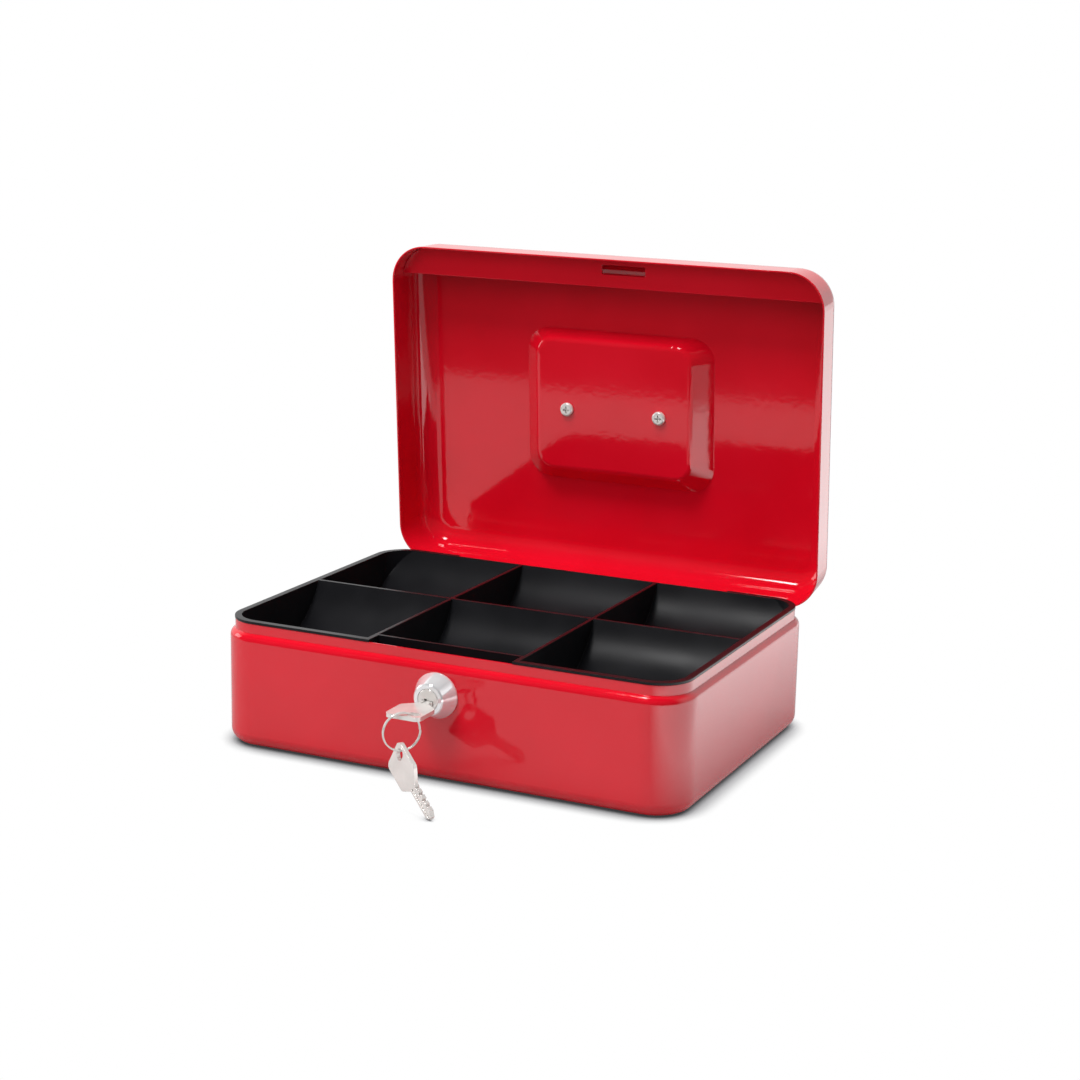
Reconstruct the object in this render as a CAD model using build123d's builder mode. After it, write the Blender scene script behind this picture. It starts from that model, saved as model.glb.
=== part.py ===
"""Steel cash box: a deep-drawn base with a cam lock, a hinged lid with a recessed
carrying handle, a moulded coin tray that lifts out, and two keys on a split ring.

Millimetres. The origin is the bottom centre of the base, +X to the right, +Y to the
hinge side and +Z up. The lid stands open, with one key in the lock.
"""

import os
from math import acos, atan2, cos, degrees, hypot, radians, sin, sqrt

from build123d import *

os.makedirs("parts", exist_ok=True)

# ---- overall sizes ----
width = 250.0  # along X
depth = 180.0  # along Y
corner_radius = 20.0  # upright corners, seen from above
sheet = 0.8  # steel sheet of base and lid
seat_gap = 0.1  # between faces that rest on each other

# ---- base ----
base_height = 59.0  # floor to the top of the rounded shoulder
base_foot_radius = 7.0
shoulder_radius = 4.0
neck_inset = 2.5
neck_height = 4.7

# ---- lid ----
lid_height = 29.0
lid_draft = 1.8  # how far each wall leans in over the lid's height
lid_edge_radius = 12.0
lid_open_angle = 86.0

# ---- recess for the handle, in the lid's top ----
recess_depth = 10.2
recess_floor_length = 89.0
recess_floor_breadth = 72.0
recess_floor_shift = -5.0  # centre of its floor along Y
recess_side_slope = 10.0  # each end wall's run, floor to mouth
recess_front_slope = 3.3
recess_rear_slope = 8.3
recess_floor_corner = 9.0
recess_floor_fillet = 3.0

# ---- handle ----
handle_screw_spacing = 54.6
handle_axis_y = -2.0
handle_axis_rise = 3.7  # pivot above the recess floor
handle_wire = 4.4
handle_pin = 3.6
handle_pin_reach = 5.6  # how far each pin goes into its bracket
handle_leg = 29.0
handle_bend = 7.0
handle_eye_wall = 0.3  # each eye's radius beyond the wire's
bracket_plate = 1.4
bracket_ear_width = 4.6
bracket_ear_offset = 7.4  # ear's middle beyond the screw, along X
bracket_boss = 7.4
bracket_boss_rise = 0.6  # boss above the handle's axis
bracket_boss_roof = 1.0  # boss beyond the end of its screw hole
bracket_corner = 1.2
screw_shank = 3.4
screw_head = 7.6
screw_head_height = 2.0
screw_cross_length = 3.8
screw_cross_width = 0.9
screw_cross_depth = 1.2
screw_end = 0.8  # its tip below the handle's axis

# ---- latch strip inside the lid's front ----
strip_rise = 9.5  # strip's underside above the rim
strip_breadth = 16.0  # from the front wall's inside
strip_sheet = 1.0
strip_wall_lip = 7.0
strip_edge_lip = 5.0
strip_gap = 0.2
slot_length = 25.0
slot_breadth = 5.2
slot_corner = 0.8
slot_centre_x = 10.0

# ---- hinge ----
hinge_length = 160.0
hinge_knuckles = 5
hinge_axis_out = 4.8  # behind the rear wall
hinge_axis_drop = 8.5  # below the top of the shoulder
hinge_barrel = 5.0
hinge_pin = 2.2
hinge_sheet = 1.0
hinge_leaf_height = 11.0
hinge_strap_drop = 2.4  # top of the base's strap below the barrel
knuckle_gap = 0.4

# ---- coin tray ----
tray_flange = 3.4
tray_flange_thickness = 1.2
tray_inset = 2.3  # flange edge in from the base's outside
tray_wall = 1.5
tray_divider = 1.8
tray_divider_x = 40.0
tray_divider_y = 1.5
tray_scoop_depth = 27.0
tray_notch_width = 77.0
tray_notch_inset = 12.0  # its set-back wall, from the front of the base
tray_relief_length = 160.0
tray_relief_depth = 2.4

# ---- lock ----
lock_height = 43.5
collar_radius = 11.3
collar_face_radius = 7.9
collar_height = 9.0
collar_rim = 0.9  # upright edge of the collar, against the wall
collar_chamfer = 0.6
barrel_radius = 7.0
barrel_length = 5.2  # behind the front wall's inside
nut_thickness = 2.6
nut_across_flats = 19.0
plug_radius = 5.4
plug_proud = 0.2
plug_end_wall = 1.0
plug_chamfer = 0.4
plug_end_reach = 0.3  # plug's end beyond the barrel
cam_seat_gap = 0.1
wafer_count = 3
wafer_pitch = 2.6
wafer_inset = 0.6  # first wafer's middle before the wall's inside
wafer_play = 0.1
wafer_thickness = 0.8
wafer_breadth = 7.2
wafer_height = 6.8
spring_radius = 0.5
spring_wire = 0.26
spring_roof = 0.3  # plug left above each spring's pocket
spring_end_gap = 0.05
cam_thickness = 2.0
cam_reach = 29.0
cam_arm = 4.4
cam_boss_radius = 4.6
cam_hook_radius = 25.4  # inside of the hook, from the lock's axis
cam_hook_angle = 14.0
cam_play = 0.5  # along the axis, so that the hook turns freely
cam_square = 5.0
cam_washer_radius = 4.6
washer_thickness = 0.6
cam_screw_head = 6.0
cam_screw_head_height = 1.4
cam_screw_cross_length = 3.2
cam_screw_cross_width = 0.8
cam_screw_cross_depth = 0.9
cam_screw_shank = 1.3  # radius
cam_screw_hold = 1.4  # hole and shank beyond the cam's thickness
washer_play = 0.2  # washer's bore around the shank
thread_gap = 0.02  # screw in its hole

# ---- keys and ring ----
key_length = 40.0
key_bow_length = 16.0
key_bow_width = 18.4
key_corner = 3.0
key_tip = 2.4  # length of the tapered point
key_tip_share = 0.3  # point's width as a share of the blade's
key_groove = 0.9
key_groove_depth = 0.4
key_groove_place = 0.35  # out from the blade's middle, of its half width
key_shoulder = 5.5
key_blade_width = 5.6
key_thickness = 2.0
key_drop = 1.4  # keyway below the lock's axis
ward_height = 1.4  # of the keyway's side groove
key_clearance = 0.25
key_hole_x = 4.2
key_hole_y = 4.7
key_hole_length = 6.2
key_hole_breadth = 4.8
key_cut = 1.3
key_cut_length = 1.5
key_first_cut = 2.2  # beyond the shoulder
key_cut_shares = (0.6, 0.8, 1.0, 0.6)
ring_radius = 9.1  # to the middle of the wire
ring_wire = 0.8
coil_gap = 0.02
ring_rise = 6.8  # middle of the ring below the key in the lock
ring_turn = 48.0  # ring's face, turned from the front towards +X
spare_turn = 12.0  # hanging key's lean, turned from the ring's normal towards +X
floor_gap = 0.4  # hanging key's lowest corner above the floor

# ---- worked out from the sizes above ----
neck_top = base_height + neck_height
shoulder_drop = shoulder_radius - sqrt(shoulder_radius**2 - (shoulder_radius - sheet) ** 2)
rim_height = base_height - shoulder_drop + seat_gap  # the closed lid's rim
hinge_y = depth / 2 + hinge_axis_out
hinge_z = base_height - hinge_axis_drop
turn = radians(lid_open_angle)
tray_bottom_of_flange = neck_top + seat_gap
tray_top = tray_bottom_of_flange + tray_flange_thickness
front = -depth / 2
tray_notch_y = front + tray_notch_inset
inner_front = front + sheet
barrel_end = inner_front + barrel_length
plug_back = barrel_end + plug_end_reach
cam_front = plug_back + cam_seat_gap
slot_centre_y = cam_front + cam_thickness / 2


def hinge_turn(y, z):
    """A point of the closed lid's Y-Z plane, where the open lid carries it."""
    out = y - hinge_y
    up = z - hinge_z
    return hinge_y + out * cos(turn) + up * sin(turn), hinge_z - out * sin(turn) + up * cos(turn)


lid_origin = (0, *hinge_turn(0, rim_height))
lid_plane = Plane(origin=lid_origin, x_dir=(1, 0, 0), z_dir=(0, sin(turn), cos(turn)))
lid_section = Plane(origin=lid_origin, x_dir=(0, cos(turn), -sin(turn)), z_dir=(1, 0, 0))


def facing_front(y):
    """A plane across the lock's axis: X to the right, Z up, normal out of the box."""
    return Plane(origin=(0, y, lock_height), x_dir=(1, 0, 0), z_dir=(0, -1, 0))


def rounded_block(plane, inset, height, lean=0.0):
    """The box's outline, moved in by inset, raised by height; its walls lean in."""
    with BuildPart() as block:
        with BuildSketch(plane):
            RectangleRounded(width - 2 * inset, depth - 2 * inset, corner_radius - inset)
        extrude(amount=height, taper=degrees(atan2(lean, height)))
    return block.part


# ================= base =================
def base_body(inset):
    """Filled form of the base, moved in by inset on every side."""
    with BuildPart() as body:
        with BuildSketch(Plane.XY.offset(inset)):
            RectangleRounded(width - 2 * inset, depth - 2 * inset, corner_radius - inset)
        extrude(amount=base_height - 2 * inset)
        fillet(body.edges().group_by(Axis.Z)[0], radius=base_foot_radius - inset)
        fillet(body.edges().group_by(Axis.Z)[-1], radius=shoulder_radius - inset)
    return body.part


base_outside = base_body(0)
base_inside = base_body(sheet)
neck_foot = Plane.XY.offset(base_height - shoulder_radius)
neck_outside = rounded_block(neck_foot, neck_inset, shoulder_radius + neck_height)
neck_inside = rounded_block(neck_foot, neck_inset + sheet, shoulder_radius + neck_height + 1)

with BuildPart() as base_shell:
    add(base_outside)
    add(neck_outside)
    add(base_inside, mode=Mode.SUBTRACT)
    add(neck_inside, mode=Mode.SUBTRACT)
    with BuildSketch(facing_front(front + base_foot_radius)):
        Circle(barrel_radius + seat_gap)
    extrude(amount=2 * base_foot_radius, mode=Mode.SUBTRACT)
base_shell.part.label = "base_shell"

# ================= hinge =================
knuckle_pitch = hinge_length / hinge_knuckles


def knuckle_middles(first):
    """X of every second knuckle, from the given one on."""
    return [
        -hinge_length / 2 + (n + 0.5) * knuckle_pitch for n in range(first, hinge_knuckles, 2)
    ]


def hinge_leaf(section, axis_point, strap, web, first):
    """A strap along the hinge, with a web and a curled barrel at its own knuckles."""
    with BuildPart() as leaf:
        with BuildSketch(section):
            with BuildLine():
                Polyline(*strap, close=True)
            make_face()
        extrude(amount=hinge_length / 2, both=True)
        for middle in knuckle_middles(first):
            with BuildSketch(section.offset(middle)):
                with BuildLine():
                    Polyline(*web, close=True)
                make_face()
                with Locations(axis_point):
                    Circle(hinge_barrel / 2)
            extrude(amount=(knuckle_pitch - knuckle_gap) / 2, both=True)
        with BuildSketch(section):
            with Locations(axis_point):
                Circle(hinge_pin / 2 + seat_gap)
        extrude(amount=hinge_length, both=True, mode=Mode.SUBTRACT)
    return leaf.part


rear = depth / 2
web_grip = hinge_barrel * 0.3  # where a web meets its barrel, from the axis
base_strap_top = hinge_z - hinge_barrel / 2 - hinge_strap_drop
base_strap = [
    (rear, base_strap_top - hinge_leaf_height),
    (rear + hinge_sheet, base_strap_top - hinge_leaf_height),
    (rear + hinge_sheet, base_strap_top),
    (rear, base_strap_top),
]
base_web = [
    (rear, base_strap_top - hinge_sheet),
    (rear + hinge_sheet, base_strap_top - hinge_sheet),
    (hinge_y - web_grip + hinge_sheet / 2, hinge_z - web_grip - hinge_sheet / 2),
    (hinge_y - web_grip - hinge_sheet / 2, hinge_z - web_grip),
    (rear, base_strap_top),
]
with BuildPart() as base_hinge_leaf:
    add(hinge_leaf(Plane.YZ, (hinge_y, hinge_z), base_strap, base_web, 0))
base_hinge_leaf.part.label = "base_hinge_leaf"

# the lid's leaf is drawn on the closed lid: Y, and height above the rim
lean_at_leaf = lid_draft * hinge_leaf_height / lid_height
leaf_gap = 0.05
axis_in_lid = (hinge_y, hinge_z - rim_height)
leaf_foot = 0.5
lid_strap = [
    (rear + leaf_gap, leaf_foot),
    (rear + leaf_gap + hinge_sheet, leaf_foot),
    (rear + leaf_gap + hinge_sheet - lean_at_leaf, leaf_foot + hinge_leaf_height),
    (rear + leaf_gap - lean_at_leaf, leaf_foot + hinge_leaf_height),
]
lid_web = [
    (rear + leaf_gap + hinge_sheet, leaf_foot + hinge_sheet),
    (rear + leaf_gap, leaf_foot + hinge_sheet),
    (rear + 3 * leaf_gap, leaf_foot),
    (axis_in_lid[0] - web_grip - hinge_sheet / 2, axis_in_lid[1] + web_grip),
    (axis_in_lid[0] - web_grip + hinge_sheet / 2, axis_in_lid[1] + web_grip + hinge_sheet / 2),
]
with BuildPart() as lid_hinge_leaf:
    add(hinge_leaf(lid_section, axis_in_lid, lid_strap, lid_web, 1))
lid_hinge_leaf.part.label = "lid_hinge_leaf"

with BuildPart() as hinge_pin_rod:
    with BuildSketch(Plane.YZ):
        with Locations((hinge_y, hinge_z)):
            Circle(hinge_pin / 2)
    extrude(amount=hinge_length / 2 + hinge_sheet, both=True)
hinge_pin_rod.part.label = "hinge_pin"

# ================= lid =================
recess_floor = lid_height - recess_depth
lid_taper_run = lid_draft / lid_height


def lid_body(inset):
    """Filled form of the lid, moved in by inset on every side but the open one."""
    block = rounded_block(lid_plane, inset, lid_height - inset, lid_draft * (1 - inset / lid_height))
    with BuildPart() as body:
        add(block)
        top = body.faces().sort_by(Axis(lid_plane.origin, lid_plane.z_dir))[-1]
        fillet(top.edges(), radius=lid_edge_radius - inset)
    return body.part


def recess_body(grow, floor, mouth):
    """Filled form of the handle recess, grown sideways, from its floor to its mouth."""
    rise = (mouth - floor) / recess_depth
    end_run = recess_side_slope * rise
    front_run = recess_front_slope * rise
    rear_run = recess_rear_slope * rise
    with BuildPart() as body:
        with BuildSketch(lid_plane.offset(floor)):
            with Locations((0, recess_floor_shift)):
                RectangleRounded(
                    recess_floor_length + 2 * grow,
                    recess_floor_breadth + 2 * grow,
                    recess_floor_corner + grow,
                )
        with BuildSketch(lid_plane.offset(mouth)):
            with Locations((0, recess_floor_shift + (rear_run - front_run) / 2)):
                RectangleRounded(
                    recess_floor_length + 2 * grow + 2 * end_run,
                    recess_floor_breadth + 2 * grow + front_run + rear_run,
                    recess_floor_corner + grow + front_run,
                )
        loft()
        low = body.faces().sort_by(Axis(lid_plane.origin, lid_plane.z_dir))[0]
        fillet(low.edges(), radius=recess_floor_fillet + grow)
    return body.part


lid_outside = lid_body(0)
lid_inside = lid_body(sheet)
recess_skin = recess_body(sheet, recess_floor - sheet, lid_height)
recess_hollow = recess_body(0, recess_floor, lid_height + sheet)

with BuildPart() as lid_shell:
    add(lid_outside)
    add(lid_inside, mode=Mode.SUBTRACT)
    add(recess_skin)
    add(recess_hollow, mode=Mode.SUBTRACT)
    with BuildSketch(lid_plane.offset(recess_floor - 3 * sheet)):
        with Locations((0, handle_axis_y)):
            with GridLocations(handle_screw_spacing, 1, 2, 1):
                Circle(screw_shank / 2 + seat_gap)
    extrude(amount=6 * sheet, mode=Mode.SUBTRACT)
lid_shell.part.label = "lid_shell"

# ================= latch strip =================
strip_inset = sheet + strip_gap


def strip_body(inset, low, high):
    """Slice of the lid's inner form between two heights above the rim."""
    at_low = inset + low * lid_taper_run
    return rounded_block(lid_plane.offset(low), at_low, high - low, (high - low) * lid_taper_run)


strip_top = strip_rise + strip_wall_lip
strip_edge_y = front + sheet + strip_breadth
strip_outside = strip_body(strip_inset, strip_rise, strip_top)
strip_inside = strip_body(strip_inset + strip_sheet, strip_rise + strip_sheet, strip_top + 1)

with BuildPart() as latch_strip:
    add(strip_outside)
    add(strip_inside, mode=Mode.SUBTRACT)
    with BuildSketch(lid_plane.offset(strip_rise - 1)):
        with Locations((0, strip_edge_y + depth / 2)):
            Rectangle(width, depth)
    extrude(amount=strip_wall_lip + 3, mode=Mode.SUBTRACT)
    lip_half_length = width / 2 - strip_inset - strip_sheet - strip_top * lid_taper_run
    with BuildSketch(lid_section):
        with Locations((strip_edge_y - strip_sheet / 2, strip_rise + strip_edge_lip / 2)):
            Rectangle(strip_sheet, strip_edge_lip)
    extrude(amount=lip_half_length, both=True)
    with BuildSketch(lid_plane.offset(strip_rise - 1)):
        with Locations((slot_centre_x, slot_centre_y)):
            RectangleRounded(slot_length, slot_breadth, slot_corner)
    extrude(amount=strip_sheet + 2, mode=Mode.SUBTRACT)
latch_strip.part.label = "latch_strip"

# ================= handle =================
bracket_x = handle_screw_spacing / 2
ear_x = bracket_x + bracket_ear_offset
handle_height = recess_floor + handle_axis_rise  # of its axis, above the rim
pivot_section = Plane(
    origin=lid_plane.from_local_coords((0, handle_axis_y, handle_height)),
    x_dir=lid_section.x_dir,
    z_dir=(1, 0, 0),
)
pin_end = ear_x - bracket_ear_width / 2
leg_x = pin_end + handle_pin_reach + handle_wire / 2
bail_plane = Plane(
    origin=pivot_section.origin, x_dir=(1, 0, 0), z_dir=lid_plane.z_dir
)

with BuildPart() as handle_bail:
    with BuildLine(bail_plane) as bail_path:
        FilletPolyline(
            (-leg_x, 0), (-leg_x, handle_leg), (leg_x, handle_leg), (leg_x, 0), radius=handle_bend
        )
    with BuildSketch(Plane(origin=bail_path.line @ 0, z_dir=bail_path.line % 0)):
        Circle(handle_wire / 2)
    sweep()
    for side in (-1, 1):
        with BuildSketch(pivot_section.offset(side * leg_x)):
            Circle(handle_wire / 2 + handle_eye_wall)
        extrude(amount=handle_wire / 2, both=True)
        with BuildSketch(pivot_section.offset(side * pin_end)):
            Circle(handle_pin / 2)
        extrude(amount=side * handle_pin_reach)
handle_bail.part.label = "handle_bail"


def bracket(side):
    """A foot screwed to the recess floor, with a boss for the screw and a bored ear."""
    boss_height = handle_axis_rise + bracket_boss_rise
    foot_start = bracket_x - bracket_boss / 2
    foot_end = ear_x + bracket_ear_width / 2
    with BuildPart() as body:
        with BuildSketch(lid_plane.offset(recess_floor)):
            with Locations((side * (foot_start + foot_end) / 2, handle_axis_y)):
                RectangleRounded(foot_end - foot_start, bracket_boss, bracket_corner)
        extrude(amount=bracket_plate)
        with BuildSketch(lid_plane.offset(recess_floor)):
            with Locations((side * bracket_x, handle_axis_y)):
                Circle(bracket_boss / 2)
        extrude(amount=boss_height)
        with BuildSketch(pivot_section.offset(side * ear_x)):
            Circle(bracket_boss / 2)
            with Locations((0, -handle_axis_rise / 2)):
                Rectangle(bracket_boss, handle_axis_rise)
        extrude(amount=bracket_ear_width / 2, both=True)
        with BuildSketch(pivot_section.offset(side * ear_x)):
            Circle(handle_pin / 2 + seat_gap)
        extrude(amount=bracket_ear_width, both=True, mode=Mode.SUBTRACT)
        with BuildSketch(lid_plane.offset(recess_floor)):
            with Locations((side * bracket_x, handle_axis_y)):
                Circle(screw_shank / 2)
        extrude(amount=boss_height - bracket_boss_roof, mode=Mode.SUBTRACT)
    return body.part


with BuildPart() as handle_brackets:
    for side in (-1, 1):
        add(bracket(side))
handle_brackets.part.label = "handle_brackets"

screw_seat = lid_plane.offset(recess_floor - sheet)
with BuildPart() as handle_screws:
    with BuildSketch(screw_seat):
        with Locations((0, handle_axis_y)):
            with GridLocations(handle_screw_spacing, 1, 2, 1):
                Circle(screw_head / 2)
    extrude(amount=-screw_head_height)
    heads = handle_screws.faces().sort_by(Axis(lid_plane.origin, lid_plane.z_dir))[:2]
    fillet(heads.edges(), radius=screw_head_height * 0.55)
    with BuildSketch(screw_seat.offset(-screw_head_height)):
        with Locations((0, handle_axis_y)):
            with GridLocations(handle_screw_spacing, 1, 2, 1):
                Rectangle(screw_cross_length, screw_cross_width)
                Rectangle(screw_cross_width, screw_cross_length)
    extrude(amount=screw_cross_depth, mode=Mode.SUBTRACT)
    with BuildSketch(screw_seat):
        with Locations((0, handle_axis_y)):
            with GridLocations(handle_screw_spacing, 1, 2, 1):
                Circle(screw_shank / 2 - thread_gap)
    extrude(amount=sheet + handle_axis_rise - screw_end)
handle_screws.part.label = "handle_screws"

# ================= coin tray =================
tray_edge = tray_inset + tray_flange  # inside face of the outer cells
tray_body_inset = tray_edge - tray_wall
cell_x = width / 2 - tray_edge
cell_y = depth / 2 - tray_edge


def row_profile(start, stop, grow):
    """Cross-section of a row of cells: flat on top, one arc below, grown outwards."""
    middle = (start + stop) / 2
    half = (stop - start) / 2
    radius = (half**2 + tray_scoop_depth**2) / (2 * tray_scoop_depth)
    centre = tray_top - tray_scoop_depth + radius
    reach = radius + grow
    edge = sqrt(reach**2 - (centre - tray_top) ** 2)
    with BuildSketch(Plane.YZ) as profile:
        with BuildLine():
            ThreePointArc(
                (middle - edge, tray_top), (middle, centre - reach), (middle + edge, tray_top)
            )
            Line((middle + edge, tray_top), (middle - edge, tray_top))
        make_face()
    return profile.sketch


half_divider = tray_divider / 2
front_row = (-cell_y, tray_divider_y - half_divider)
rear_row = (tray_divider_y + half_divider, cell_y)
notched_row = (tray_notch_y + tray_wall, tray_divider_y - half_divider)
columns = [
    (-cell_x, -tray_divider_x - half_divider),
    (-tray_divider_x + half_divider, tray_divider_x - half_divider),
    (tray_divider_x + half_divider, cell_x),
]

tray_column = rounded_block(
    Plane.XY.offset(tray_top - 2 * tray_scoop_depth), tray_body_inset, 2 * tray_scoop_depth
)
cell_column = rounded_block(
    Plane.XY.offset(tray_top - 2 * tray_scoop_depth), tray_edge, 2 * tray_scoop_depth + 1
)


def scoops(row, span, grow):
    """The filled form of a row of cells between two places along X."""
    with BuildPart() as body:
        extrude(row_profile(*row, grow), amount=span[1] - span[0], dir=(1, 0, 0))
    return Pos(span[0], 0, 0) * body.part


def cell(row, column):
    """The hollow of one coin cell, rounded where its scoop meets its end walls."""
    with BuildPart() as body:
        add(scoops(row, column, 0))
        add(cell_column, mode=Mode.INTERSECT)
    return body.part


whole_span = (-cell_x - tray_wall, cell_x + tray_wall)
notch_half = tray_notch_width / 2

with BuildPart() as coin_tray:
    add(scoops(rear_row, whole_span, tray_wall))
    add(scoops(front_row, whole_span, tray_wall))
    add(tray_column, mode=Mode.INTERSECT)
    with BuildSketch(Plane.XY.offset(tray_bottom_of_flange)):
        RectangleRounded(
            width - 2 * tray_inset, depth - 2 * tray_inset, corner_radius - tray_inset
        )
    extrude(amount=tray_flange_thickness)
    with BuildSketch(Plane.XY.offset(tray_top - 2 * tray_scoop_depth)):
        with Locations((0, (tray_notch_y - depth / 2) / 2)):
            Rectangle(tray_notch_width, depth / 2 + tray_notch_y)
    extrude(amount=3 * tray_scoop_depth, mode=Mode.SUBTRACT)
    add(scoops(notched_row, (-notch_half - tray_wall, notch_half + tray_wall), tray_wall))
    for column in columns:
        add(cell(rear_row, column), mode=Mode.SUBTRACT)
    for column in (columns[0], columns[2]):
        add(cell(front_row, column), mode=Mode.SUBTRACT)
    add(cell(notched_row, columns[1]), mode=Mode.SUBTRACT)
    with BuildSketch(Plane.XY.offset(tray_bottom_of_flange - 1)):
        with Locations((0, depth / 2 - tray_inset)):
            Rectangle(tray_relief_length, 2 * tray_relief_depth)
    extrude(amount=tray_flange_thickness + 2, mode=Mode.SUBTRACT)
coin_tray.part.label = "coin_tray"

# ================= lock =================
plug_front = front - collar_height - plug_proud
lock_section = Plane(origin=(0, front, lock_height), x_dir=(0, -1, 0), z_dir=(1, 0, 0))

with BuildPart() as lock_barrel:
    bore = plug_radius + seat_gap
    with BuildSketch(lock_section):
        with BuildLine():
            Polyline(
                (-sheet - barrel_length, bore),
                (-sheet - barrel_length, barrel_radius),
                (0, barrel_radius),
                (0, collar_radius),
                (collar_rim, collar_radius),
                (collar_height - collar_chamfer, collar_face_radius),
                (collar_height, collar_face_radius - collar_chamfer),
                (collar_height, bore),
                close=True,
            )
        make_face()
    revolve(axis=Axis((0, front, lock_height), (0, 1, 0)))
lock_barrel.part.label = "lock_barrel"

with BuildPart() as lock_nut:
    with BuildSketch(facing_front(inner_front + nut_thickness)):
        RegularPolygon(nut_across_flats / 2, 6, major_radius=False)
        Circle(barrel_radius + 0.05, mode=Mode.SUBTRACT)
    extrude(amount=nut_thickness)
lock_nut.part.label = "lock_nut"

keyway_width = key_blade_width + 2 * key_clearance
keyway_height = key_thickness + 2 * key_clearance
wafer_first = inner_front - wafer_inset
wafer_places = [wafer_first - n * wafer_pitch for n in range(wafer_count)]

with BuildPart() as lock_plug:
    with BuildSketch(facing_front(plug_back)):
        Circle(plug_radius)
    extrude(amount=plug_back - plug_front)
    chamfer(lock_plug.edges().sort_by(Axis.Y)[0], length=plug_chamfer)
    with BuildSketch(facing_front(plug_back)):
        Rectangle(cam_square, cam_square)
    extrude(amount=-(cam_thickness + cam_play))
    with BuildSketch(facing_front(plug_back - plug_end_wall)):
        with Locations((0, -key_drop)):
            Rectangle(keyway_width, keyway_height)
        with Locations((-key_blade_width / 5, -key_drop + keyway_height / 2)):
            Rectangle(key_blade_width / 4, ward_height)
    extrude(amount=plug_back - plug_end_wall - plug_front + 1, mode=Mode.SUBTRACT)
    for place in wafer_places:
        with BuildSketch(facing_front(place + wafer_thickness / 2 + wafer_play)):
            Rectangle(wafer_breadth + 2 * wafer_play, wafer_height + 2 * wafer_play)
        extrude(amount=wafer_thickness + 2 * wafer_play, mode=Mode.SUBTRACT)
        with BuildSketch(Plane(origin=(0, place, lock_height), z_dir=(0, 0, 1))):
            Circle(spring_radius + spring_wire)
        extrude(amount=plug_radius - spring_roof, mode=Mode.SUBTRACT)
    with BuildSketch(facing_front(plug_back + cam_thickness + 1)):
        Circle(cam_screw_shank)
    extrude(amount=cam_thickness + cam_screw_hold, mode=Mode.SUBTRACT)
lock_plug.part.label = "lock_plug"

with BuildPart() as lock_wafers:
    for place in wafer_places:
        with BuildSketch(facing_front(place + wafer_thickness / 2)):
            Rectangle(wafer_breadth, wafer_height)
            with Locations((0, -key_drop)):
                Rectangle(keyway_width, keyway_height, mode=Mode.SUBTRACT)
        extrude(amount=wafer_thickness)
lock_wafers.part.label = "lock_wafers"

with BuildPart() as wafer_springs:
    spring_start = lock_height + wafer_height / 2 + spring_wire / 2 + spring_end_gap
    spring_height = plug_radius - spring_roof - wafer_height / 2 - spring_wire - 3 * spring_end_gap
    for place in wafer_places:
        with BuildLine(Plane(origin=(0, place, spring_start), z_dir=(0, 0, 1))) as coil:
            Helix(pitch=spring_height / 3, height=spring_height, radius=spring_radius)
        with BuildSketch(Plane(origin=coil.line @ 0, z_dir=coil.line % 0)):
            Circle(spring_wire / 2)
        sweep(path=coil.line, is_frenet=True)
wafer_springs.part.label = "wafer_springs"

with BuildPart() as cam_hook:
    with BuildSketch(facing_front(cam_front + cam_thickness)):
        Circle(cam_boss_radius)
        with Locations((cam_reach / 2, 0)):
            Rectangle(cam_reach, cam_arm)
        with BuildLine():
            hook_end = radians(cam_hook_angle)
            inner = cam_hook_radius
            outer = cam_reach
            ThreePointArc(
                (inner, 0),
                (inner * cos(hook_end / 2), inner * sin(hook_end / 2)),
                (inner * cos(hook_end), inner * sin(hook_end)),
            )
            Line(
                (inner * cos(hook_end), inner * sin(hook_end)),
                (outer * cos(hook_end), outer * sin(hook_end)),
            )
            ThreePointArc(
                (outer * cos(hook_end), outer * sin(hook_end)),
                (outer * cos(hook_end / 2), outer * sin(hook_end / 2)),
                (outer, 0),
            )
            Line((outer, 0), (inner, 0))
        make_face()
        Rectangle(cam_square + 0.1, cam_square + 0.1, mode=Mode.SUBTRACT)
    extrude(amount=cam_thickness)
cam_hook.part.label = "cam_hook"

washer_front = cam_front + cam_thickness + cam_play
with BuildPart() as cam_washer:
    with BuildSketch(facing_front(washer_front + washer_thickness)):
        Circle(cam_washer_radius)
        Circle(cam_screw_shank + washer_play, mode=Mode.SUBTRACT)
    extrude(amount=washer_thickness)
cam_washer.part.label = "cam_washer"

screw_front = washer_front + washer_thickness
with BuildPart() as cam_screw:
    with BuildSketch(facing_front(screw_front + cam_screw_head_height)):
        Circle(cam_screw_head / 2)
    extrude(amount=cam_screw_head_height)
    fillet(cam_screw.edges().sort_by(Axis.Y)[-1], radius=0.4 * cam_screw_head_height)
    with BuildSketch(facing_front(screw_front + cam_screw_head_height)):
        Rectangle(cam_screw_cross_length, cam_screw_cross_width)
        Rectangle(cam_screw_cross_width, cam_screw_cross_length)
    extrude(amount=cam_screw_cross_depth, mode=Mode.SUBTRACT)
    with BuildSketch(facing_front(screw_front)):
        Circle(cam_screw_shank - thread_gap)
    extrude(amount=cam_thickness + cam_screw_hold)
cam_screw.part.label = "cam_screw"


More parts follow.
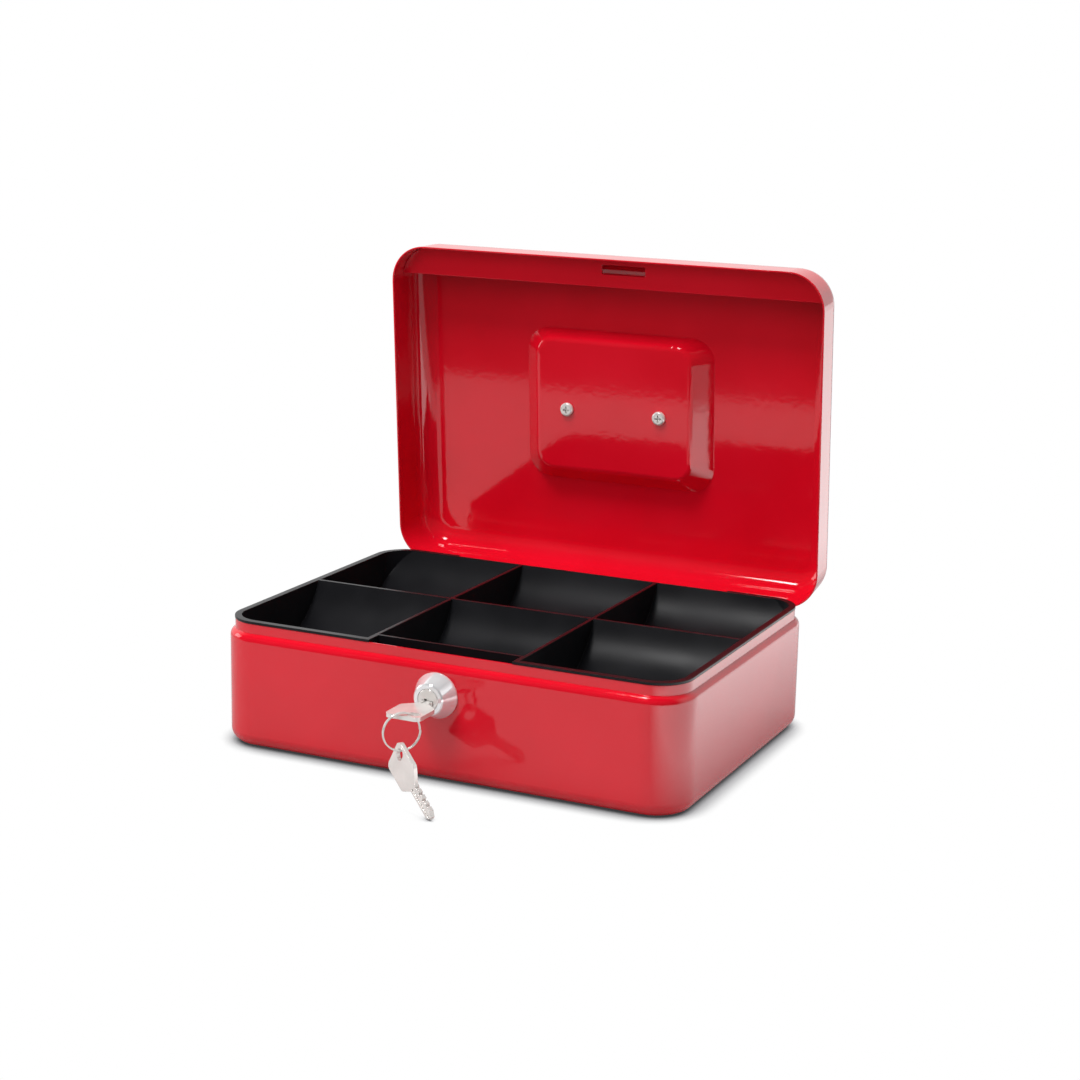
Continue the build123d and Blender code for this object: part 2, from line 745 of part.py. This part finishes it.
# ================= keys =================
def key(plane):
    """A flat key. X runs across the bow, Y from the bow's end to the tip."""
    half_bow = key_bow_width / 2
    half_blade = key_blade_width / 2
    neck_y = key_bow_length + key_shoulder
    cut_pitch = (key_length - neck_y - key_tip - key_cut_length) / len(key_cut_shares)
    with BuildPart() as body:
        with BuildSketch(plane) as outline:
            with BuildLine():
                Polyline(
                    (-half_bow, 0),
                    (half_bow, 0),
                    (half_bow, key_bow_length),
                    (half_blade, neck_y),
                    (half_blade, key_length - key_tip),
                    (half_blade * key_tip_share, key_length),
                    (-half_blade * key_tip_share, key_length),
                    (-half_blade, key_length - key_tip),
                    (-half_blade, neck_y),
                    (-half_bow, key_bow_length),
                    close=True,
                )
            make_face()
            bow_corners = [v for v in outline.vertices() if v.Y < neck_y - 0.1]
            fillet(bow_corners, radius=key_corner)
            with Locations((key_hole_x, key_hole_y)):
                SlotOverall(key_hole_length, key_hole_breadth, mode=Mode.SUBTRACT)
            for n, share in enumerate(key_cut_shares):
                with Locations((half_blade, neck_y + key_first_cut + n * cut_pitch)):
                    Rectangle(2 * key_cut * share, key_cut_length, mode=Mode.SUBTRACT)
        extrude(amount=key_thickness / 2, both=True)
        for face in (-1, 1):
            with BuildSketch(plane.offset(face * key_thickness / 2)):
                with Locations((-half_blade * key_groove_place, (neck_y + key_length) / 2 + 0.5)):
                    Rectangle(key_groove, key_length - neck_y + 1)
            extrude(amount=-face * key_groove_depth, mode=Mode.SUBTRACT)
    return body.part


key_tip_y = plug_back - plug_end_wall - key_clearance
key_end_y = key_tip_y - key_length
key_z = lock_height - key_drop
lock_key_plane = Plane(origin=(0, key_end_y, key_z), x_dir=(1, 0, 0), z_dir=(0, 0, 1))
with BuildPart() as key_in_lock:
    add(key(lock_key_plane))
key_in_lock.part.label = "key_in_lock"

# the ring goes down through the key's hole and comes round the end of its bow
ring_angle = radians(ring_turn)
ring_along = Vector(cos(ring_angle), sin(ring_angle), 0)
ring_normal = Vector(sin(ring_angle), -cos(ring_angle), 0)
ring_half_chord = sqrt(ring_radius**2 - ring_rise**2)
ring_hook = Vector(key_hole_x, key_end_y + key_hole_y, key_z)
ring_centre = ring_hook - ring_along * ring_half_chord - Vector(0, 0, ring_rise)
ring_pitch = ring_wire + coil_gap

with BuildPart() as key_ring:
    ring_start = ring_centre - ring_normal * ring_pitch
    with BuildLine() as wind:
        Helix(ring_pitch, 2 * ring_pitch, ring_radius, center=ring_start, direction=ring_normal)
    with BuildSketch(Plane(origin=wind.line @ 0, z_dir=wind.line % 0)):
        Circle(ring_wire / 2)
    sweep(path=wind.line, is_frenet=True)
key_ring.part.label = "key_ring"

# the spare key hangs from the ring's lowest place and leans with its tip near the floor
pivot_point = ring_centre - Vector(0, 0, ring_radius)
hole_drop = key_hole_breadth / 2 - ring_wire / 2 - seat_gap
reach_down = key_length - key_tip - key_hole_y
reach_side = key_hole_x + key_blade_width / 2
hang = pivot_point.Z - hole_drop - floor_gap
lean = atan2(reach_side, reach_down) + acos(hang / hypot(reach_down, reach_side))
lean_angle = radians(ring_turn - 90 + spare_turn)
lean_side = Vector(cos(lean_angle), sin(lean_angle), 0)
key_down = lean_side * sin(lean) + Vector(0, 0, -cos(lean))
key_across = lean_side * cos(lean) + Vector(0, 0, sin(lean))
hole_middle = pivot_point - Vector(0, 0, hole_drop)
spare_end = hole_middle - key_down * key_hole_y - key_across * key_hole_x
spare_plane = Plane(origin=spare_end, x_dir=key_across, z_dir=key_across.cross(key_down))
with BuildPart() as spare_key:
    add(key(spare_plane))
spare_key.part.label = "spare_key"

nodes = {
    "base_shell": base_shell,
    "base_hinge_leaf": base_hinge_leaf,
    "hinge_pin": hinge_pin_rod,
    "lock_barrel": lock_barrel,
    "lock_nut": lock_nut,
    "lock_plug": lock_plug,
    "lock_wafers": lock_wafers,
    "wafer_springs": wafer_springs,
    "cam_hook": cam_hook,
    "cam_washer": cam_washer,
    "cam_screw": cam_screw,
    "key_in_lock": key_in_lock,
    "key_ring": key_ring,
    "spare_key": spare_key,
    "coin_tray": coin_tray,
    "lid_shell": lid_shell,
    "latch_strip": latch_strip,
    "lid_hinge_leaf": lid_hinge_leaf,
    "handle_bail": handle_bail,
    "handle_brackets": handle_brackets,
    "handle_screws": handle_screws,
}
for name, node in nodes.items():
    export_step(node.part, f"parts/{name}.step")

print("lid hinge axis y, z:", hinge_y, hinge_z)
print("handle axis:", tuple(round(v, 3) for v in pivot_section.origin))
print("ring hook:", ring_hook, "ring centre:", ring_centre, "lean:", round(degrees(lean), 2))
print("spare pivot:", pivot_point, "ring along:", ring_along)
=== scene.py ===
"""Looks of the steel cash box: gloss red enamel, a moulded black coin tray, chromed
lock and handle, nickelled keys. Metres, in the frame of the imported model."""

from math import cos, radians, sin

import bmesh
import bpy
from mathutils import Matrix, Vector

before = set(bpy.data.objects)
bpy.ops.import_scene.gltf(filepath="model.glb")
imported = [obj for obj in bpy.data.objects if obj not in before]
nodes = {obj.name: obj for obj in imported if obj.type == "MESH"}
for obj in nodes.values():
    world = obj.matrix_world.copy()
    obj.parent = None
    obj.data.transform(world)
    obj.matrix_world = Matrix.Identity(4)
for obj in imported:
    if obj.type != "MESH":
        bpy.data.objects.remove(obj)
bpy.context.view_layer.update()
mm = 0.001


# ---- Base shell ----
# A tub drawn from one 0.8 mm steel sheet, with a rolled shoulder and a stepped-in neck.
# It is degreased, sprayed and stoved: a thick, even gloss enamel with faint orange peel.
def linear(hex_colour):
    """sRGB hex to the linear colour that a socket takes."""
    parts = [int(hex_colour[i : i + 2], 16) / 255 for i in (1, 3, 5)]
    return [p / 12.92 if p <= 0.04045 else ((p + 0.055) / 1.055) ** 2.4 for p in parts] + [1.0]


def add_node(material, kind, inputs=None, **settings):
    """Adds one shader node. Each input is a value, or another node's output to link."""
    tree = material.node_tree
    made = tree.nodes.new(kind)
    for name, value in settings.items():
        setattr(made, name, value)
    for socket, value in (inputs or {}).items():
        if isinstance(value, bpy.types.NodeSocket):
            tree.links.new(value, made.inputs[socket])
        else:
            made.inputs[socket].default_value = value
    return made


def new_material(name):
    """An empty node material with its output, and the piece's own coordinates."""
    material = bpy.data.materials.new(name)
    material.use_nodes = True
    material.node_tree.nodes.clear()
    output = add_node(material, "ShaderNodeOutputMaterial")
    place = add_node(material, "ShaderNodeTexCoord").outputs["Object"]
    return material, output, place


def noise(material, place, size, detail):
    """Cloudy noise, from 0 to 1, with clouds of about the given size."""
    inputs = {"Vector": place, "Scale": 1 / size, "Detail": detail}
    return add_node(material, "ShaderNodeTexNoise", inputs).outputs["Fac"]


def spread(material, value, start, end, low, high):
    """The value's run from start to end, spread over low to high and held beyond."""
    inputs = {"Value": value, "From Min": start, "From Max": end, "To Min": low, "To Max": high}
    return add_node(material, "ShaderNodeMapRange", inputs).outputs["Result"]


def combine(material, operation, first, second):
    """Two numbers put together by one maths operation."""
    made = add_node(material, "ShaderNodeMath", {0: first, 1: second}, operation=operation)
    return made.outputs["Value"]


def colour_ramp(material, factor, stops):
    """A ramp of (position, sRGB hex) stops."""
    ramp = add_node(material, "ShaderNodeValToRGB", {"Fac": factor})
    band = ramp.color_ramp
    while len(band.elements) < len(stops):
        band.elements.new(0.5)
    for element, (position, colour) in zip(band.elements, stops):
        element.position = position
        element.color = linear(colour)
    return ramp.outputs["Color"]


def two_tones(material, clouds, dark, light):
    """The middle of a noise's run, as a blend of two close colours."""
    return colour_ramp(material, clouds, [(0.35, dark), (0.65, light)])


def uneven(material, clouds, low, high):
    """The middle of a noise's run, as a roughness between two values."""
    return spread(material, clouds, 0.3, 0.7, low, high)


def surface(material, height, strength, depth, edge_radius):
    """Normals of a bumpy surface whose sharp edges paint, polish or a mould rounds off."""
    edges = add_node(material, "ShaderNodeBevel", {"Radius": edge_radius}, samples=4)
    inputs = {
        "Height": height,
        "Strength": strength,
        "Distance": depth,
        "Normal": edges.outputs["Normal"],
    }
    return add_node(material, "ShaderNodeBump", inputs).outputs["Normal"]


def finish_shader(material, output, inputs):
    """Ends a material with one Principled shader."""
    shader = add_node(material, "ShaderNodeBsdfPrincipled", inputs)
    material.node_tree.links.new(shader.outputs["BSDF"], output.inputs["Surface"])
    return material


def finish_with(node_names, material):
    """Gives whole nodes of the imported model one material."""
    for name in node_names:
        mesh = nodes[name].data
        mesh.materials.clear()
        mesh.materials.append(material)


def make_red_enamel():
    """Stoved gloss enamel: deep red, clear wet reflections, a slow orange-peel ripple."""
    material, output, place = new_material("stoved_gloss_enamel_red")
    flow = noise(material, place, 60 * mm, 2.0)
    peel = noise(material, place, 3.5 * mm, 1.0)
    inputs = {
        "Base Color": two_tones(material, flow, "#D00A1F", "#D80D24"),
        "Roughness": uneven(material, flow, 0.045, 0.08),
        "Normal": surface(material, peel, 0.4, 0.05 * mm, 0.5 * mm),
        "IOR": 1.62,
    }
    return finish_shader(material, output, inputs)


red_enamel = make_red_enamel()
finish_with(["base_shell", "lid_shell", "latch_strip", "base_hinge_leaf", "lid_hinge_leaf"], red_enamel)


# ---- Lock ----
# A small cam lock: die-cast barrel and plug under bright chrome, with the wafers and
# their springs inside, held by a steel nut, and a steel hook screwed to the plug's end.
def make_metal(name, light, dark, roughness, grain, strength, metallic=1.0):
    """Bare or plated metal: two close tones, fine surface lines of the given grain."""
    material, output, place = new_material(name)
    cloud = noise(material, place, 9 * mm, 3.0)
    lines = noise(material, place, grain, 2.0)
    inputs = {
        "Base Color": two_tones(material, cloud, dark, light),
        "Metallic": metallic,
        "Roughness": uneven(material, cloud, roughness * 0.75, roughness * 1.25),
        "Normal": surface(material, lines, strength, 0.02 * mm, 0.25 * mm),
    }
    return finish_shader(material, output, inputs)


bright_chrome = make_metal(
    "bright_chrome_plate", "#FAFAFB", "#F2F2F4", roughness=0.06, grain=1.2 * mm, strength=0.08, metallic=0.55
)
zinc_steel = make_metal(
    "zinc_plated_steel", "#C9CBCB", "#B4B7B9", roughness=0.32, grain=0.5 * mm, strength=0.3
)
nickel_steel = make_metal(
    "nickel_plated_steel", "#F1EDE9", "#E4E0DC", roughness=0.17, grain=0.6 * mm, strength=0.15, metallic=0.45
)
brass = make_metal("stamped_brass", "#D8B468", "#C39C50", roughness=0.25, grain=0.5 * mm, strength=0.2)
finish_with(["lock_barrel"], bright_chrome)
finish_with(["lock_nut", "cam_hook", "cam_washer", "cam_screw", "wafer_springs", "hinge_pin"], zinc_steel)
finish_with(["lock_plug"], nickel_steel)
finish_with(["lock_wafers"], brass)


# ---- Coin tray ----
# Injection-moulded polystyrene, black, lifted straight out: satin, with a fine spark
# grain from the mould on its broad faces.
def make_black_styrene():
    """Moulded black plastic: near black, a soft satin sheen, fine mould grain."""
    material, output, place = new_material("moulded_black_polystyrene")
    cloud = noise(material, place, 35 * mm, 2.0)
    grain = noise(material, place, 0.7 * mm, 2.0)
    inputs = {
        "Base Color": two_tones(material, cloud, "#0F0F12", "#141417"),
        "Specular IOR Level": 0.3,
        "Roughness": uneven(material, cloud, 0.3, 0.42),
        "Normal": surface(material, grain, 0.25, 0.03 * mm, 0.4 * mm),
    }
    return finish_shader(material, output, inputs)


finish_with(["coin_tray"], make_black_styrene())

# ---- Handle ----
# A bent steel wire and its two screwed feet, bright chrome like the lock.
finish_with(["handle_bail", "handle_brackets"], bright_chrome)
finish_with(["handle_screws"], nickel_steel)

# ---- Keys and ring ----
# Stamped steel keys and a split ring of spring wire, all nickelled.
finish_with(["key_in_lock", "spare_key", "key_ring"], nickel_steel)


# ---- Table and room ----
# A plain white table whose front edge lies just before the box, in a room that is white
# behind and above, and dim in front. Close to the box the table shows a painted contact
# shadow, darker where the box hides more of the room.
table_front = -0.375
table_size = 6.0
table_drop = 0.2 * mm  # below the box's foot
painted_shadow_reach = 18 * mm

# In mirrors the table glows on the box's right, up to a slanting line in front of it.
glow_level = 1.55
glow_starts = 0.12
glow_is_full = 0.2
across_the_line = (1.0, -2.0, 0.0)
glow_fades = 0.72
glow_is_gone = 0.8


def make_white_table():
    """Matt white laminate: plain white to camera rays away from the box, with a painted contact shadow close
    to it.
    """
    material, output, place = new_material("white_laminate_table")
    ray = add_node(material, "ShaderNodeLightPath").outputs
    open_sky = add_node(material, "ShaderNodeAmbientOcclusion", {"Distance": painted_shadow_reach}, samples=16)
    # Painted contact shadow: the grey that camera rays see darkens where the box hides the room close by.
    painted_contact_shadow = colour_ramp(
        material, open_sky.outputs["AO"], [(0.2, "#3A3B3D"), (0.5, "#B4B3B5"), (0.75, "#FFFFFF")]
    )
    seen = add_node(material, "ShaderNodeEmission", {"Color": painted_contact_shadow})
    mirrored = combine(material, "MAXIMUM", ray["Is Glossy Ray"], ray["Is Transmission Ray"])
    across = add_node(material, "ShaderNodeSeparateXYZ", {"Vector": place}).outputs["X"]
    ahead = add_node(
        material, "ShaderNodeVectorMath", {0: place, 1: across_the_line}, operation="DOT_PRODUCT"
    )
    on_right = spread(material, across, glow_starts, glow_is_full, 0.0, glow_level)
    not_ahead = spread(material, ahead.outputs["Value"], glow_fades, glow_is_gone, 1.0, 0.0)
    glow = combine(material, "MULTIPLY", on_right, not_ahead)
    mirror_glow = combine(material, "MULTIPLY", mirrored, glow)
    matt = add_node(material, "ShaderNodeBsdfDiffuse", {"Color": linear("#D2D2D2")})
    light = add_node(material, "ShaderNodeEmission", {"Strength": mirror_glow})
    lit = add_node(
        material, "ShaderNodeAddShader", {0: matt.outputs["BSDF"], 1: light.outputs["Emission"]}
    )
    both = add_node(
        material,
        "ShaderNodeMixShader",
        {0: ray["Is Camera Ray"], 1: lit.outputs["Shader"], 2: seen.outputs["Emission"]},
    )
    material.node_tree.links.new(both.outputs["Shader"], output.inputs["Surface"])
    return material


table_mesh = bpy.data.meshes.new("table")
top = bmesh.new()
bmesh.ops.create_grid(top, x_segments=1, y_segments=1, size=table_size / 2)
bmesh.ops.translate(top, verts=top.verts, vec=(0, table_front + table_size / 2, -table_drop))
top.to_mesh(table_mesh)
top.free()
table = bpy.data.objects.new("table", table_mesh)
bpy.context.collection.objects.link(table)
table_mesh.materials.append(make_white_table())

# The room is plain white to the camera, and lights the box evenly. In mirrors it is dim
# in front, and its ceiling is darker than its walls.
room_level = 0.4
front_level = 0.06
ceiling_level = 0.22

world = bpy.data.worlds.new("white_room")
bpy.context.scene.world = world
world.use_nodes = True
world.node_tree.nodes.clear()
ray = add_node(world, "ShaderNodeLightPath").outputs
facing = add_node(world, "ShaderNodeTexCoord").outputs["Generated"]
sides = add_node(world, "ShaderNodeSeparateXYZ", {"Vector": facing}).outputs
backwards = spread(world, sides["Y"], -0.25, 0.1, front_level, 1.0)
upwards = spread(world, sides["Z"], 0.55, 0.8, 1.0, ceiling_level)
mirrored_room = combine(world, "MULTIPLY", backwards, upwards)
mirror_light = add_node(
    world, "ShaderNodeMix", {"Factor": ray["Is Glossy Ray"], "A": room_level, "B": mirrored_room}
)
seen_straight = combine(world, "MAXIMUM", ray["Is Camera Ray"], ray["Is Transmission Ray"])
level = add_node(
    world, "ShaderNodeMix", {"Factor": seen_straight, "A": mirror_light.outputs["Result"], "B": 1.0}
)
room = add_node(
    world,
    "ShaderNodeBackground",
    {"Color": linear("#FFFFFF"), "Strength": level.outputs["Result"]},
)
add_node(world, "ShaderNodeOutputWorld", {"Surface": room.outputs["Background"]})


# ---- Lamps ----
# Broad soft boxes light the box from the front and above, a small one above gives its
# highlights, and a wide one lights the table alone, which keeps its light even.
def soft_lamp(name, place, aim, size, power, mirrored=False, only_table=False):
    """A square soft box at a place, facing a point."""
    lamp = bpy.data.lights.new(name, "AREA")
    lamp.shape = "SQUARE"
    lamp.size = size
    lamp.energy = power
    holder = bpy.data.objects.new(name, lamp)
    holder.location = place
    holder.rotation_euler = (Vector(aim) - Vector(place)).to_track_quat("-Z", "Y").to_euler()
    holder.visible_glossy = mirrored
    lit = bpy.data.collections.new(name + "_lights")
    lit.objects.link(table)
    lit.collection_objects[0].light_linking.link_state = "INCLUDE" if only_table else "EXCLUDE"
    holder.light_linking.receiver_collection = lit
    bpy.context.collection.objects.link(holder)


box_middle = (0, 0.05, 0.1)
soft_lamp("front_lamp", (-0.35, -1.0, 0.85), box_middle, size=0.7, power=3.8)
soft_lamp("top_lamp", (-0.15, -0.35, 1.2), box_middle, size=0.5, power=10.0)
soft_lamp("highlight_lamp", (-0.2, -0.45, 1.1), box_middle, size=0.22, power=3.0, mirrored=True)
soft_lamp("left_lamp", (-1.0, -0.2, 0.35), (0, 0, 0.1), size=0.4, power=1.5, mirrored=True)
soft_lamp("table_lamp", (0, -0.1, 1.6), (0, -0.1, 0), size=2.0, power=30.0, only_table=True)

# ---- Camera ----
# Looks at the box from the front, a little to its right and above.
camera_turn = radians(25.1)
camera_rise = radians(13.2)
camera_roll = radians(1.13)
camera_distance = 1.1155
camera_target = Vector((0.01055, 0, 0.1023))
camera_back = Vector(
    (sin(camera_turn) * cos(camera_rise), -cos(camera_turn) * cos(camera_rise), sin(camera_rise))
)
level_x = Vector((0, 0, 1)).cross(camera_back).normalized()
level_y = camera_back.cross(level_x)
camera_x = level_x * cos(camera_roll) + level_y * sin(camera_roll)
camera_y = level_y * cos(camera_roll) - level_x * sin(camera_roll)
camera_data = bpy.data.cameras.new("camera")
camera_data.lens = 73.8
camera_data.sensor_width = 36.0
camera = bpy.data.objects.new("camera", camera_data)
camera.matrix_world = Matrix.Translation(camera_target + camera_back * camera_distance) @ (
    Matrix((camera_x, camera_y, camera_back)).transposed().to_4x4()
)
bpy.context.collection.objects.link(camera)
bpy.context.scene.camera = camera
bpy.context.scene.view_settings.view_transform = "Standard"
